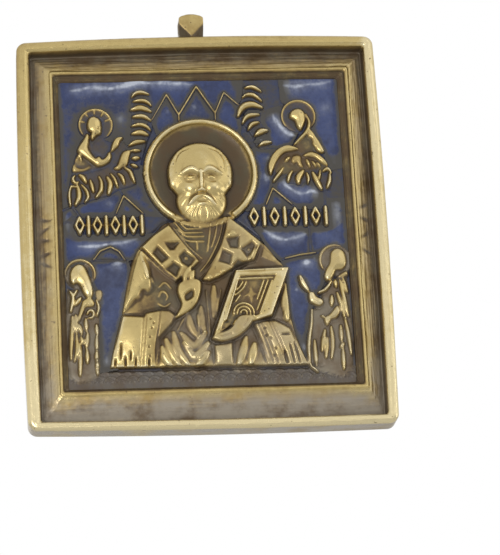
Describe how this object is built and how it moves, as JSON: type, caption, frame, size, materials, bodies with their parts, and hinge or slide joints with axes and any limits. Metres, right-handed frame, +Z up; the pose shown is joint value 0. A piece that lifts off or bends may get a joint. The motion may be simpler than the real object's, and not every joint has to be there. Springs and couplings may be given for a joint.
{
  "type": "enamel icon",
  "caption": "Small upright cast-brass devotional icon in low relief, blue enamel fused into its hollows, hung by a cast loop on its top edge.",
  "frame": {"origin": "middle of the loop's eye, which holds the icon up", "axes": "+Z up the icon, +X to the right as seen from the front, the picture faces -Y and the flat back faces +Y"},
  "size_m": [0.0527, 0.0047, 0.0628],
  "materials": {
    "cast_brass": "worn polished high points, brown patina in the hollows",
    "enamel": "glossy opaque blue, wavy, worn grey at the edges"
  },
  "bodies": {
    "root": {"cast_plaque": "cast_brass", "enamel_left_arch": "enamel", "enamel_left_band": "enamel", "enamel_left_caret": "enamel", "enamel_left_corner": "enamel", "enamel_left_peak": "enamel", "enamel_left_shoulder": "enamel", "enamel_left_taper": "enamel", "enamel_lower_cloud": "enamel", "enamel_middle_peak": "enamel", "enamel_right_bowl": "enamel", "enamel_right_caret": "enamel", "enamel_right_hollow": "enamel", "enamel_right_inner_band": "enamel", "enamel_right_outer_band": "enamel", "enamel_right_peak": "enamel", "enamel_right_shoulder": "enamel", "enamel_right_sky": "enamel", "enamel_right_taper": "enamel", "enamel_sky": "enamel", "enamel_upper_cloud": "enamel", "hanging_loop": "cast_brass"}
  },
  "joints": []
}
